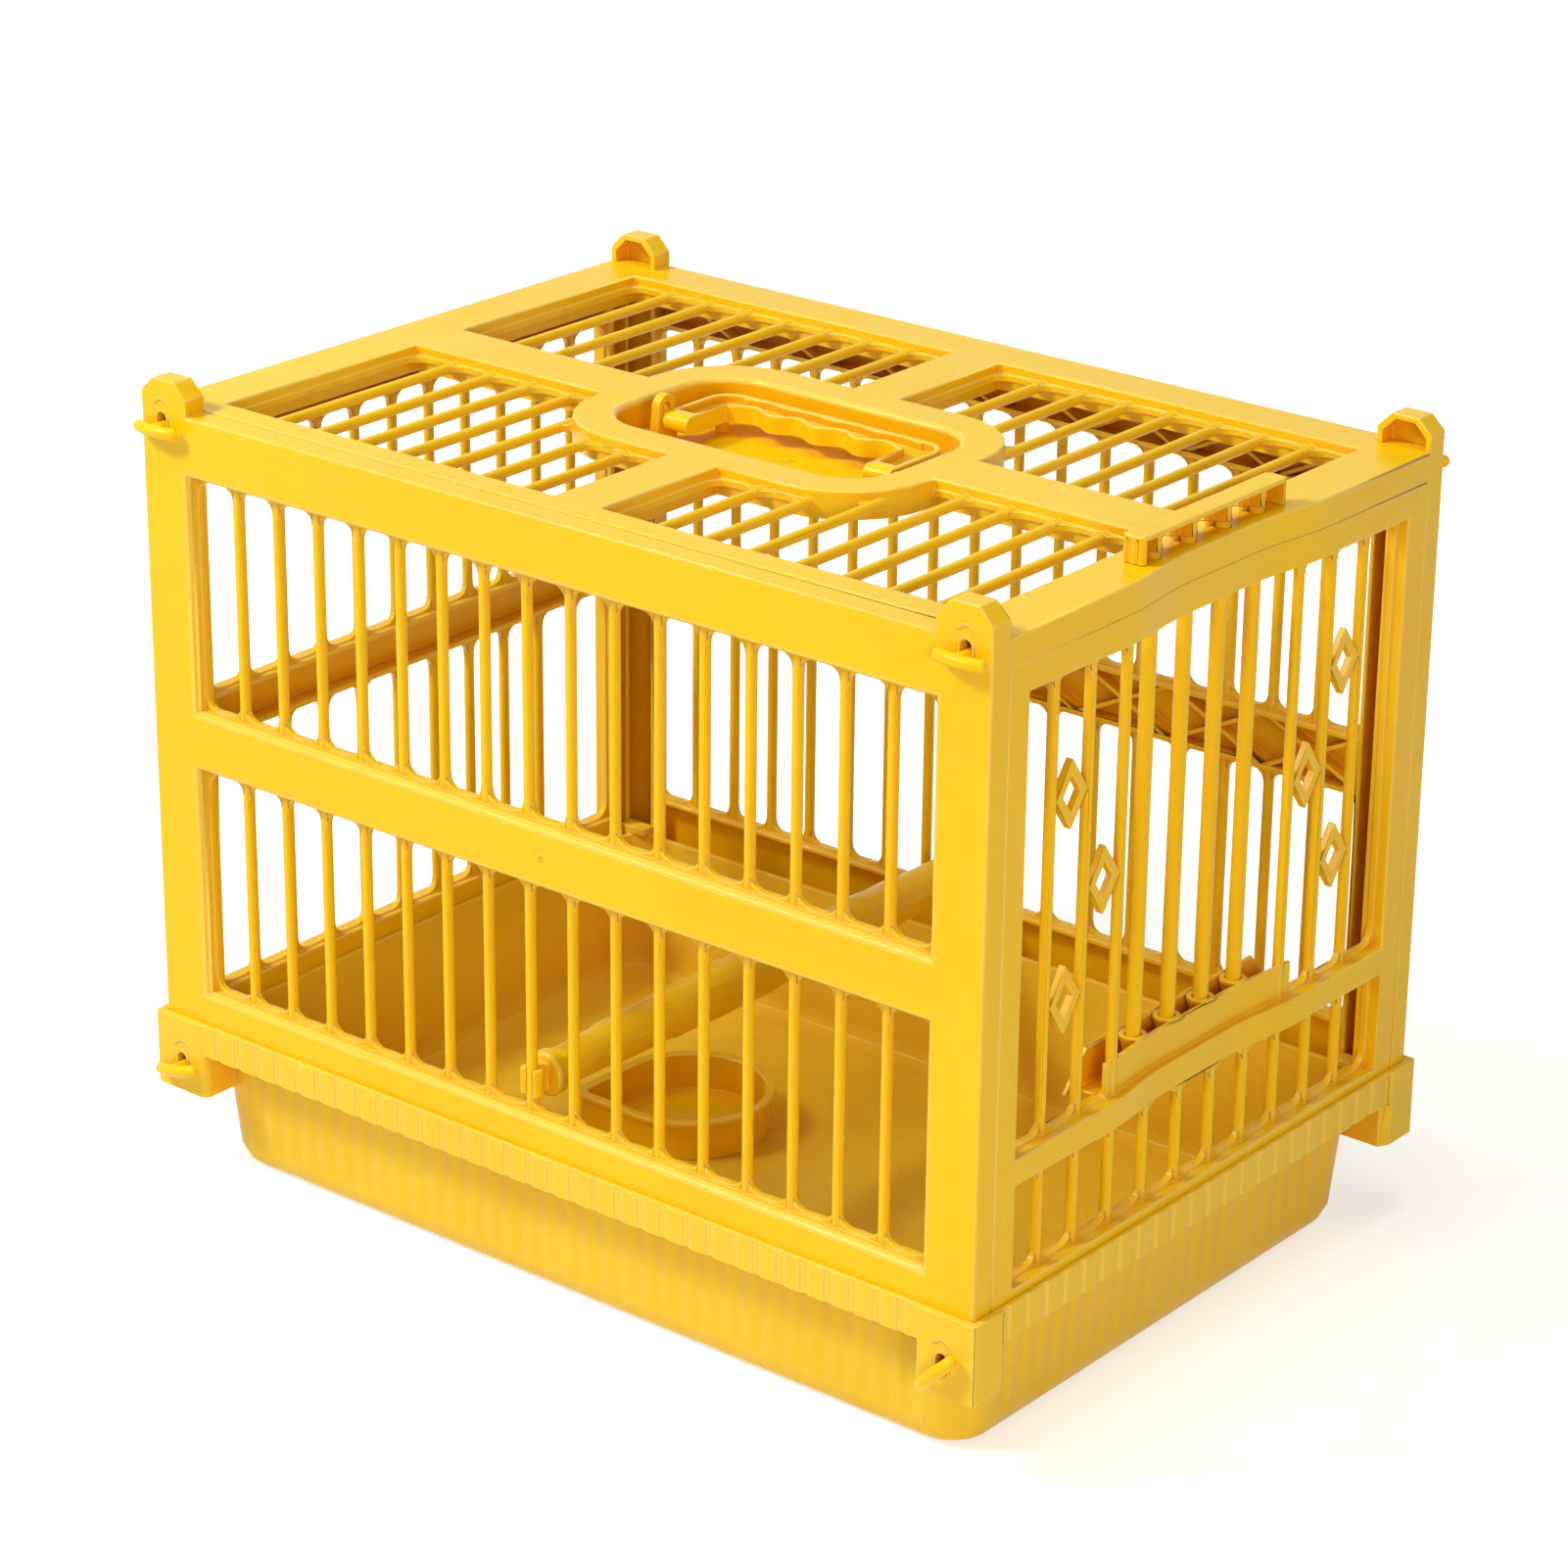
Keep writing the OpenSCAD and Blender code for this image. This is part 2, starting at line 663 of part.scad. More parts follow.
// Lug that stands in the well and carries the left end of the handle
module handle_lug() {
    translate([handle_x - lug_x - lug_t, -pivot_y, 0]) rotate([90, 0, 90])
        linear_extrude(height = lug_t)
            polygon(concat([[-lug_half - 1.4, floor_z - 0.5], [lug_half + 1.4, floor_z - 0.5]],
                           arc(0, lug_top - lug_half, lug_half, 0, 180, 12)));
}

// Bores for both studs: one through the lug, open above the stud, and one through
// the right wall of the well
module stud_bores() {
    for (x = [[handle_x - lug_x - lug_t - 1, handle_x - lug_x + 1],
              [well_len / 2 - 2, well_len / 2 + skin + 1]])
        translate([x[0], -pivot_y, pivot_z]) rotate([0, 90, 0])
            cylinder(d = stud_d + 2 * run, h = x[1] - x[0]);
    translate([handle_x - lug_x - lug_t - 1, -pivot_y, pivot_z]) rotate([90, 0, 90])
        linear_extrude(height = lug_t + 2)
            polygon(concat([[-eye_w / 2, 0], [eye_w / 2, 0]], arc(0, eye_up, eye_w / 2, 0, 180, 8)));
}

// Pads on the floor of the well, on which the folded handle lies
module handle_pads() {
    x = handle_w / 2 - arm_w / 2;
    y = handle_reach - pivot_y - 9;
    for (s = [-1, 1])
        translate([handle_x + s * x, y, floor_z - 0.5])
            cylinder(d = 5, h = pivot_z - handle_t / 2 - 0.1 - floor_z + 0.5);
}

module rod_bosses(d, z0, z1) {
    for (i = [0:rods - 1])
        translate([rod_x, (i - (rods - 1) / 2) * rod_gap, z0]) cylinder(d = d, h = z1 - z0);
}

module lid() {
    color(yellow) {
        difference() {
            union() {
                difference() {
                    slab(lid_outline(0), lid_z, lid_top);
                    lid_windows(0, lid_z - 1, lid_top + 1);
                    // hollow underside
                    difference() {
                        slab(lid_outline(skin), lid_z - 1, lid_top - skin);
                        lid_windows(skin, lid_z - 2, lid_top);
                    }
                }
                lid_grilles();
                rod_bosses(rod_d + 4.6, lid_z, lid_top - 0.5);
                well_outline(skin, floor_z - skin, lid_top - 0.5);
            }
            well_outline(0, floor_z, lid_top + 1);
            rod_bosses(rod_d + 2 * run, lid_z - 1, lid_top + 1);
            stud_bores();
        }
        difference() {
            handle_lug();
            stud_bores();
        }
        handle_pads();
        both_ends() {
            lid_tongue();
            mirror([0, 1, 0]) lid_tongue();
        }
    }
}

// ---- carry handle ----

// Line along the grip with a wave for each finger, from right to left
function finger_waves(y, high) = let (x1 = handle_w / 2 - arm_w, n = 12 * fingers)
    [for (i = [0:n]) [x1 - 2 * x1 * i / n, y + high * cos(360 * fingers * i / n)]];

module carry_handle() {
    hw = handle_w / 2;
    z0 = pivot_z - handle_t / 2;
    flange = 1.9;
    deep = 3.4;
    x_in = hw - arm_w + flange;
    color(yellow) translate([handle_x, -pivot_y, 0]) {
        difference() {
            slab(concat([[hw, 0]], arc(hw - 10, handle_reach - 10, 10, 0, 90),
                        arc(-hw + 10, handle_reach - 10, 10, 90, 180),
                        [[-hw, 0], [-hw + arm_w, 0]],
                        backwards(finger_waves(handle_reach - grip_w - finger_d / 2,
                                               -finger_d / 2)),
                        [[hw - arm_w, 0]]), z0, z0 + handle_t);
            // channel on top, which leaves a flange all round
            slab(concat([[hw - flange, handle_t / 2]],
                        arc(hw - 10, handle_reach - 10, 10 - flange, 0, 90),
                        finger_waves(handle_reach - flange - 0.7, -0.7),
                        arc(-hw + 10, handle_reach - 10, 10 - flange, 90, 180),
                        [[-hw + flange, handle_t / 2], [-x_in, handle_t / 2]],
                        backwards(finger_waves(handle_reach - grip_w + flange - finger_d / 2,
                                               -finger_d / 2)),
                        [[x_in, handle_t / 2]]), z0 + handle_t - deep, z0 + handle_t + 1);
        }
        both_ends() translate([hw - arm_w, 0, pivot_z]) rotate([0, 90, 0])
            cylinder(d = handle_t, h = arm_w);
        translate([-lug_x - lug_t, 0, pivot_z]) rotate([0, 90, 0])
            cylinder(d = stud_d, h = lug_t + fit + 1);
        translate([hw - 1, 0, pivot_z]) rotate([0, 90, 0])
            cylinder(d = stud_d, h = wall_gap + skin + 1);
    }
}

// ---- tray ----

// Solid tub shape drawn in by a wall
module tub_solid(in, z0, z1) {
    function half_at(full, z) = full - tub_draft * max(0, 1 - z / seat_z) - in;
    hull()
        for (s = [0, 0.3, 1, 2]) {
            z = s == 2 ? z1 : z0 + tub_foot_r * s;
            back = s == 2 ? 0 : tub_foot_r * (s == 0 ? 1 : s == 1 ? 0 : 0.29);
            r = tub_r - in - back * 0.9;
            for (sx = [-1, 1], sy = [-1, 1])
                translate([sx * (half_at(tub_x, z) - back - r),
                           sy * (half_at(tub_y, z) - back - r), z - (s == 2 ? 0.1 : 0)])
                    cylinder(r = r, h = 0.1, $fn = 32);
        }
}

// Outline of the rim band with its flutes, one side after the other
function flute_run(len, y) = let (n = round(len / flute_pitch), p = len / n)
    joined([for (i = [0:n - 1]) let (x = -len / 2 + i * p)
        [[x + 0.3 * p, y], [x + 0.38 * p, y + flute_d], [x + 0.62 * p, y + flute_d],
         [x + 0.7 * p, y]]]);

function turned(pts, a) = [for (p = pts) [p[0] * cos(a) - p[1] * sin(a),
                                          p[0] * sin(a) + p[1] * cos(a)]];

function band_outline() = concat(
    [[-rim_x, -rim_y]], flute_run(2 * (rim_x - block_w), -rim_y), [[rim_x, -rim_y]],
    turned(flute_run(2 * (rim_y - block_w / 2), -rim_x), 90), [[rim_x, rim_y]],
    turned(flute_run(2 * (rim_x - block_w), -rim_y), 180), [[-rim_x, rim_y]],
    turned(flute_run(2 * (rim_y - block_w / 2), -rim_x), 270));

module corner_block() {
    x1 = half_len + block_out;
    y1 = half_dep + block_out;
    slab(concat([[x1 - block_w, tub_y - skin - tub_draft]],
                [[x1 - 2.5, tub_y - skin - tub_draft], [x1, tub_y - skin]],
                arc(x1 - 1.2, y1 - 1.2, 1.2, 0, 90, 3),
                arc(x1 - block_w + 3, y1 - 3, 3, 90, 180)), block_z, tray_h);
}

module base_tray() {
    x_fit = half_len + fit;
    y_fit = half_dep + fit;
    leg_x = half_len - ear_w + skin;
    color(tray_yellow) {
        difference() {
            union() {
                tub_solid(0, 0, lip_z);
                for (mx = [0, 1], my = [0, 1]) mirror([mx, 0, 0]) mirror([0, my, 0])
                    corner_block();
                ring_slab(band_outline(), round_rect(-tub_x + 1, -tub_y + 1, tub_x - 1,
                          tub_y - 1, tub_r - 1), tray_h - band_h, seat_z - fit / 2);
                ring_slab(band_outline(), [[-x_fit, -y_fit], [x_fit, -y_fit],
                          [x_fit, y_fit], [-x_fit, y_fit]], seat_z - 0.5, tray_h);
            }
            tub_solid(skin, skin, lip_z + 1);
            // pocket for each panel leg, open to the channel above it
            for (mx = [0, 1], my = [0, 1]) mirror([mx, 0, 0]) mirror([0, my, 0]) {
                block(leg_x, half_dep - panel_t - fit / 2, block_z + skin,
                      x_fit, y_fit, tray_h + 1);
                block(half_len - panel_t - fit, half_dep - 40, seat_z - fit / 2,
                      x_fit, y_fit - 1, tray_h + 1);
                block(half_len - 50, half_dep - panel_t - fit / 2, seat_z - fit / 2,
                      x_fit - 1, y_fit, tray_h + 1);
            }
            both_ends() for (my = [0, 1]) mirror([0, my, 0])
                keyhole(pin_foot_z, -half_dep - block_out - 1, -half_dep + 1);
        }
        both_ends() for (my = [0, 1]) mirror([0, my, 0])
            key_rim(pin_foot_z, -half_dep - block_out);
    }
}

// ---- lock pins ----

// Pin with its bar level, head towards -Y, walls starting at y = 0
module lock_pin() {
    turn = asin((key_len - key_d) / 2 / key_bow);
    color(yellow) {
        // turning bar, bent away from the wall, with round ends
        translate([0, key_bow - key_off, 0]) {
            rotate([0, 0, -90 - turn]) rotate_extrude(angle = 2 * turn, $fn = 96)
                translate([key_bow, 0]) circle(d = key_d, $fn = 24);
            for (s = [-1, 1]) rotate([0, 0, -90 + s * turn]) translate([key_bow, 0, 0])
                sphere(d = key_d, $fn = 24);
        }
        translate([0, -key_off, 0]) rotate([-90, 0, 0])
            cylinder(d = pin_d, h = key_off + stack + fit + lug_long);
        // lug that catches behind the inner wall
        block(0, stack + fit, -lug_w / 2, lug_reach, stack + fit + lug_long, lug_w / 2);
    }
}

// Pin at one of the eight places, sx and sy giving the corner
module placed_pin(sx, sy, z, out, turn = 0) {
    translate([sx * pin_x, sy * (half_dep + out), z]) rotate([0, 0, sy > 0 ? 180 : 0])
        rotate([0, -turn, 0]) lock_pin();
}

// ---- inside ----

// Branch-like perch lying front to back, turned from a stepped outline
module perch() {
    r = perch_r;
    h = perch_half;
    color(yellow) translate([perch_x, 0, perch_z]) rotate([-90, 0, 0])
        difference() {
            rotate_extrude()
                polygon([[0, -h], [0.74 * r, -h], [0.77 * r, -0.79 * h], [0.84 * r, -0.76 * h],
                         [0.87 * r, -0.49 * h], [0.95 * r, -0.46 * h], [r, 0.02 * h],
                         [0.93 * r, 0.05 * h], [0.9 * r, 0.45 * h], [0.95 * r, 0.48 * h],
                         [0.8 * r, h], [0, h]]);
            for (s = [-1, 1]) translate([0, 0, s > 0 ? h - 10 : -h - 1])
                cylinder(d = 7, h = 11);
        }
}

// End piece of the perch: plug, collar and two curved claws that grip a bar
module perch_clip() {
    r_in = bar_d / 2 + 0.1;
    claw = 2.1;
    tall = 10;
    mouth = 46;
    y_bar = -bar_y;
    y_head = -perch_half;
    color(yellow) translate([perch_x, 0, perch_z]) {
        translate([0, y_head - 5, 0]) rotate([-90, 0, 0]) {
            cylinder(d1 = 15, d2 = 17, h = 1);
            translate([0, 0, 1]) cylinder(d = 17, h = 3.9);
        }
        translate([0, y_head - 1, 0]) rotate([-90, 0, 0]) cylinder(d = 6.9, h = 10);
        translate([0, 0, -tall / 2]) linear_extrude(height = tall)
            polygon(concat(arc(0, y_bar, r_in + claw, mouth - 90, 270 - mouth, 24),
                           arc(0, y_bar, r_in, 270 - mouth, mouth - 90, 24)));
        block(-claw, y_bar + r_in + 0.6, -tall / 2, claw, y_head - 4.5, tall / 2);
    }
}

module perch_clip_front() {
    perch_clip();
}

module perch_clip_back() {
    mirror([0, 1, 0]) perch_clip();
}

// Round bowl with one square corner, drawn in by a distance
function bowl_outline(in) = let (r = bowl_d / 2 - in, c = 3)
    concat(arc(0, 0, r, -90, 180, 36), arc(c - r, c - r, c, 180, 270));

module food_bowl() {
    rim = 2.2;
    color(yellow) translate([bowl_at[0], bowl_at[1], skin + fit / 2]) difference() {
        union() {
            slab(bowl_outline(rim), 0, bowl_h);
            slab(bowl_outline(0), bowl_h - 2, bowl_h);
        }
        slab(bowl_outline(rim + bowl_wall), bowl_wall, bowl_h + 1);
    }
}

// ---- assembly ----

base_tray();
front_panel();
back_panel();
left_panel();
right_panel();
lid();
lift_door();
carry_handle();
perch();
perch_clip_front();
perch_clip_back();
food_bowl();
placed_pin(-1, -1, pin_top_z, 0);  // pin_top_front_left
placed_pin(1, -1, pin_top_z, 0);  // pin_top_front_right
placed_pin(-1, 1, pin_top_z, 0);  // pin_top_back_left
placed_pin(1, 1, pin_top_z, 0);  // pin_top_back_right
placed_pin(-1, -1, pin_foot_z, block_out, slack_turn);  // pin_foot_front_left
placed_pin(1, -1, pin_foot_z, block_out, loose_turn);  // pin_foot_front_right
placed_pin(-1, 1, pin_foot_z, block_out);  // pin_foot_back_left
placed_pin(1, 1, pin_foot_z, block_out);  // pin_foot_back_right
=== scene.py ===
"""Bird travel carrier: the finish of its mouldings, and the studio that it stands in."""

import json
import math

import bmesh
import bpy
from mathutils import Euler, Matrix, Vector, noise
from mathutils.bvhtree import BVHTree


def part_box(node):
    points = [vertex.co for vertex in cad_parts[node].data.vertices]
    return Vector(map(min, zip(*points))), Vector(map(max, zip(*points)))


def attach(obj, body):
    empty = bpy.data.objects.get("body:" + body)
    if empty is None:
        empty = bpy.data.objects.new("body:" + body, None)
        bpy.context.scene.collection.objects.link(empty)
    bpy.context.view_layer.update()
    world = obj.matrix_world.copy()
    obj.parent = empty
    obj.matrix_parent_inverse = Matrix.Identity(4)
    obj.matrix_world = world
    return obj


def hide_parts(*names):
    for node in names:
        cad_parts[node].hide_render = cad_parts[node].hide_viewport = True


bl_info = {
    "name": "Bird travel carrier",
    "version": (1, 0, 0),
    "blender": (4, 5, 0),
    "location": "View3D > Sidebar > Carrier",
    "description": "Finishes the mouldings of a bird travel carrier and lights it",
    "category": "Object",
}

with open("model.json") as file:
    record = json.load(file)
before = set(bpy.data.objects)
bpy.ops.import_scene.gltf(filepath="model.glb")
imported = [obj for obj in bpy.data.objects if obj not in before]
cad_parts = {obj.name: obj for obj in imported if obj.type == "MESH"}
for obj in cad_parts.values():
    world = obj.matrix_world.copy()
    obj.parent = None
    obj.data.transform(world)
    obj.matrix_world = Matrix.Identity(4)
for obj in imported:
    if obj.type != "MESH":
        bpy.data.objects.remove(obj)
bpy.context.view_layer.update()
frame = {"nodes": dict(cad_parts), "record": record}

MM = 0.001
LID_LUG_HEIGHT = 5.2 * MM
PINS = [name for name in frame["nodes"] if name.startswith("pin_")]

# the Weighted Normal modifier's own layer, and its value for a face that counts least
NORMAL_PULL = "__mod_weightednormals_faceweight"
WEAK = -16384

# an edge is rounded when its faces turn by more than this
SHARP = math.radians(28)
# a sliver lies folded on its neighbour when they turn by more than this
FOLDED = math.radians(165)
# points nearer than this to a height count as being at it
LEVEL_REACH = 0.1 * MM
# points nearer than this are one point
SAME_POINT = 0.002 * MM

# what the lamps point at: the middle of the carrier
LAMP_AIM = (0, 0, 0.15)


def lid_top():
    """Height of the flat top of the lid, which the lug stands above."""
    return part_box("lid")[1][2] - LID_LUG_HEIGHT


# ---- properties ----


class CarrierColours(bpy.types.PropertyGroup):
    cage: bpy.props.FloatVectorProperty(
        name="Cage", description="Colour of the panels, lid and pins",
        default=(0.93, 0.575, 0.006), subtype="COLOR", size=3, min=0.0, max=1.0)
    # the deep tone is the darker end of the random flow tone, and also the base of the painted
    # shade in hollows
    cage_deep: bpy.props.FloatVectorProperty(
        name="Cage, deep", description="Darker tone where the moulding is thick",
        default=(0.91, 0.535, 0.004), subtype="COLOR", size=3, min=0.0, max=1.0)
    tray: bpy.props.FloatVectorProperty(
        name="Tray", description="Colour of the tray",
        default=(0.92, 0.60, 0.040), subtype="COLOR", size=3, min=0.0, max=1.0)
    # the deep tone is the darker end of the random flow tone, and also the base of the painted
    # shade in hollows
    tray_deep: bpy.props.FloatVectorProperty(
        name="Tray, deep", description="Darker tone of the tray",
        default=(0.89, 0.55, 0.028), subtype="COLOR", size=3, min=0.0, max=1.0)
    floor: bpy.props.FloatVectorProperty(
        name="Floor", description="Colour of the studio floor",
        default=(0.80, 0.80, 0.80), subtype="COLOR", size=3, min=0.0, max=1.0)


class CarrierFinish(bpy.types.PropertyGroup):
    edge_round: bpy.props.FloatProperty(
        name="Edge rounding", description="Radius of the small moulded edges",
        default=0.35 * MM, min=0.05 * MM, max=0.6 * MM, unit="LENGTH", subtype="DISTANCE")
    rail_round: bpy.props.FloatProperty(
        name="Rail rounding", description="Radius of the outer edges of rails and frames",
        default=0.9 * MM, min=0.2 * MM, max=1.5 * MM, unit="LENGTH", subtype="DISTANCE")
    ear_round: bpy.props.FloatProperty(
        name="Ear rounding", description="Radius of the edges of the locking ears",
        default=0.6 * MM, min=0.2 * MM, max=1.5 * MM, unit="LENGTH", subtype="DISTANCE")
    plate_round: bpy.props.FloatProperty(
        name="Plate rounding", description="Radius of the edges of the door pull and the handle",
        default=0.6 * MM, min=0.2 * MM, max=1.0 * MM, unit="LENGTH", subtype="DISTANCE")
    rim_round: bpy.props.FloatProperty(
        name="Rim rounding", description="Radius of the rim of the food bowl",
        default=0.7 * MM, min=0.2 * MM, max=1.0 * MM, unit="LENGTH", subtype="DISTANCE")
    well_round: bpy.props.FloatProperty(
        name="Well rounding", description="Radius round the mouth of the handle well",
        default=2.2 * MM, min=0.5 * MM, max=3 * MM, unit="LENGTH", subtype="DISTANCE")
    pin_grain: bpy.props.FloatProperty(
        name="Pin grain", description="Grain at which a lock pin's parts are made one skin",
        default=0.18 * MM, min=0.1 * MM, max=0.4 * MM, unit="LENGTH", subtype="DISTANCE",
        precision=5)
    flute_pitch: bpy.props.FloatProperty(
        name="Flute spacing", description="Distance between the flutes round the tub",
        default=9.4 * MM, min=6 * MM, max=14 * MM, unit="LENGTH", subtype="DISTANCE")
    flute_depth: bpy.props.FloatProperty(
        name="Flute depth", description="How deep the flutes go into the tub wall",
        default=0.8 * MM, min=0.1 * MM, max=1.2 * MM, unit="LENGTH", subtype="DISTANCE")
    roughness: bpy.props.FloatProperty(
        name="Roughness", description="Roughness of the plastic",
        default=0.27, min=0.05, max=1.0, subtype="FACTOR")
    glow: bpy.props.FloatProperty(
        name="Glow", description="Share of the light that passes into the plastic",
        default=0.15, min=0.0, max=1.0, subtype="FACTOR")


class CarrierStage(bpy.types.PropertyGroup):
    camera_place: bpy.props.FloatVectorProperty(
        name="Camera place", description="Where the camera stands",
        default=(0.98702, -1.22177, 0.79863), unit="LENGTH", subtype="TRANSLATION", size=3)
    camera_turn: bpy.props.FloatVectorProperty(
        name="Camera turn", description="How the camera is turned",
        default=tuple(math.radians(a) for a in (67.99575, -0.58344, 39.15915)),
        subtype="EULER", size=3)
    lens: bpy.props.FloatProperty(
        name="Lens", description="Focal length in millimetres on a 36 mm sensor",
        default=106.43, min=20.0, max=300.0)


# ---- materials ----


def moulded_plastic(name, light, deep, tray=False):
    """Satin plastic: flow tone, painted shade in hollows, painted highlight on rounded edges,
    fine rubs and orange peel.
    """
    finish = bpy.context.scene.carrier_finish
    material = bpy.data.materials.new(name)
    material.use_nodes = True
    nodes, links = material.node_tree.nodes, material.node_tree.links
    nodes.clear()

    def node(kind, x, y, **values):
        made = nodes.new(kind)
        made.location = (x, y)
        for key, value in values.items():
            setattr(made, key, value)
        return made

    out = node("ShaderNodeOutputMaterial", 900, 0)
    shader = node("ShaderNodeBsdfPrincipled", 600, 0)
    place = node("ShaderNodeTexCoord", -900, 0)
    links.new(shader.outputs["BSDF"], out.inputs["Surface"])

    # tone of the flow inside the mould, wide and slow
    flow = node("ShaderNodeTexNoise", -650, 250)
    flow.inputs["Scale"].default_value = 9.0
    flow.inputs["Detail"].default_value = 4.0
    flow.inputs["Distortion"].default_value = 0.6
    links.new(place.outputs["Object"], flow.inputs["Vector"])
    tone = node("ShaderNodeValToRGB", -400, 250)
    tone.color_ramp.elements[0].position = 0.34
    tone.color_ramp.elements[0].color = (*deep, 1)
    tone.color_ramp.elements[1].position = 0.66
    tone.color_ramp.elements[1].color = (*light, 1)
    links.new(flow.outputs["Fac"], tone.inputs["Fac"])

    # painted shade: hollows, found by ambient occlusion, are painted a deeper orange, standing
    # in for the shade there and the light that bounces between the walls
    painted_shade_ao = node("ShaderNodeAmbientOcclusion", -400, 520, samples=3, only_local=True)
    painted_shade_ao.inputs["Distance"].default_value = 35 * MM
    depth = node("ShaderNodeMapRange", -200, 520)
    depth.inputs["From Min"].default_value = 0.15
    depth.inputs["From Max"].default_value = 0.85
    depth.inputs["To Min"].default_value = 0.85
    depth.inputs["To Max"].default_value = 0.0
    links.new(painted_shade_ao.outputs["AO"], depth.inputs["Value"])
    painted_hollow_shade = node("ShaderNodeMix", 0, 400, data_type="RGBA")
    painted_hollow_shade.inputs["B"].default_value = (deep[0] * 0.84, deep[1] * 0.52, deep[2] * 0.5, 1)
    links.new(depth.outputs["Result"], painted_hollow_shade.inputs["Factor"])
    links.new(tone.outputs["Color"], painted_hollow_shade.inputs["A"])

    # painted highlight: rounded edges are painted paler, as if they caught the light
    edge = node("ShaderNodeAttribute", -400, 0, attribute_name="rounded")
    share = node("ShaderNodeMath", -200, 60, operation="MULTIPLY")
    share.inputs[1].default_value = 0.3
    links.new(edge.outputs["Fac"], share.inputs[0])
    painted_edge_highlight = node("ShaderNodeMix", 250, 250, data_type="RGBA")
    painted_edge_highlight.inputs["B"].default_value = (*[min(1.0, c * 0.75 + 0.24) for c in light], 1)
    links.new(share.outputs["Value"], painted_edge_highlight.inputs["Factor"])
    links.new(painted_hollow_shade.outputs["Result"], painted_edge_highlight.inputs["A"])
    links.new(painted_edge_highlight.outputs["Result"], shader.inputs["Base Color"])

    # rubs and handling marks change the gloss
    rubs = node("ShaderNodeTexNoise", -650, -40)
    rubs.inputs["Scale"].default_value = 42.0
    rubs.inputs["Detail"].default_value = 6.0
    rubs.inputs["Roughness"].default_value = 0.62
    links.new(place.outputs["Object"], rubs.inputs["Vector"])
    gloss = node("ShaderNodeMapRange", -200, -40)
    gloss.inputs["From Min"].default_value = 0.3
    gloss.inputs["From Max"].default_value = 0.7
    gloss.inputs["To Min"].default_value = finish.roughness - 0.06
    gloss.inputs["To Max"].default_value = finish.roughness + (0.22 if tray else 0.10)
    links.new(rubs.outputs["Fac"], gloss.inputs["Value"])
    sheen = node("ShaderNodeMath", 50, -40, operation="MULTIPLY_ADD", use_clamp=True)
    sheen.inputs[1].default_value = -0.12
    links.new(edge.outputs["Fac"], sheen.inputs[0])
    links.new(gloss.outputs["Result"], sheen.inputs[2])
    links.new(sheen.outputs["Value"], shader.inputs["Roughness"])

    # orange peel and slow sink waves
    peel = node("ShaderNodeTexNoise", -650, -620)
    peel.inputs["Scale"].default_value = 620.0
    peel.inputs["Detail"].default_value = 3.0
    links.new(place.outputs["Object"], peel.inputs["Vector"])
    waves = node("ShaderNodeTexNoise", -650, -860)
    waves.inputs["Scale"].default_value = 55.0
    waves.inputs["Detail"].default_value = 1.0
    links.new(place.outputs["Object"], waves.inputs["Vector"])
    wave_bump = node("ShaderNodeBump", 100, -700)
    wave_bump.inputs["Strength"].default_value = 0.25
    wave_bump.inputs["Distance"].default_value = 0.6 * MM
    links.new(waves.outputs["Fac"], wave_bump.inputs["Height"])
    if not tray:
        links.new(gate_marks(node, links, place), wave_bump.inputs["Normal"])
    peel_bump = node("ShaderNodeBump", 350, -500)
    peel_bump.inputs["Strength"].default_value = 0.35
    peel_bump.inputs["Distance"].default_value = 0.05 * MM
    links.new(peel.outputs["Fac"], peel_bump.inputs["Height"])
    links.new(wave_bump.outputs["Normal"], peel_bump.inputs["Normal"])
    links.new(peel_bump.outputs["Normal"], shader.inputs["Normal"])

    shader.inputs["IOR"].default_value = 1.49
    shader.inputs["Specular IOR Level"].default_value = 0.12 if tray else 0.17
    shader.inputs["Subsurface Weight"].default_value = finish.glow
    shader.inputs["Subsurface Radius"].default_value = (1.0, 0.55, 0.12)
    shader.inputs["Subsurface Scale"].default_value = 3 * MM
    return material


